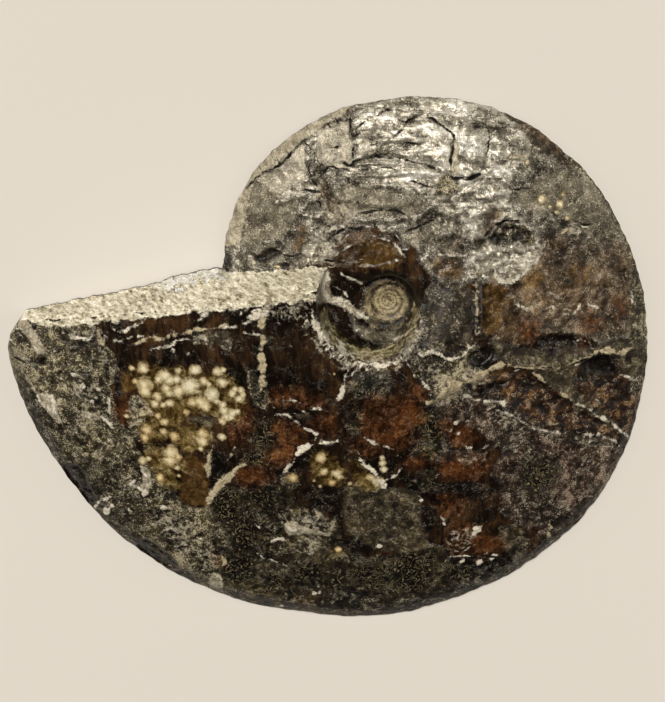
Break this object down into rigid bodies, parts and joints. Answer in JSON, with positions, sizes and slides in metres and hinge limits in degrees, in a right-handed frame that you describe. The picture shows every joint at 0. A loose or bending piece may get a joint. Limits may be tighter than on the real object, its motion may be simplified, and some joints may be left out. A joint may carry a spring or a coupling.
{
  "type": "ammonite fossil half",
  "caption": "Sawn half of a large ammonite with a dark calcite-filled last whorl, a broken ledge of pale rock and a deep umbilicus, lying on its sawn face.",
  "frame": {"origin": "on the sawn back face, at the axis that the shell coils about", "axes": "+Z out of the sawn face through the visible flank, +X from the broken end of the last whorl across the umbilicus to the far side, +Y towards the earlier part of the last whorl"},
  "size_m": [0.3191, 0.2743, 0.0435],
  "materials": {
    "fossil_stone": "satin"
  },
  "bodies": {
    "root": {"ammonite_half": "fossil_stone"}
  },
  "joints": []
}
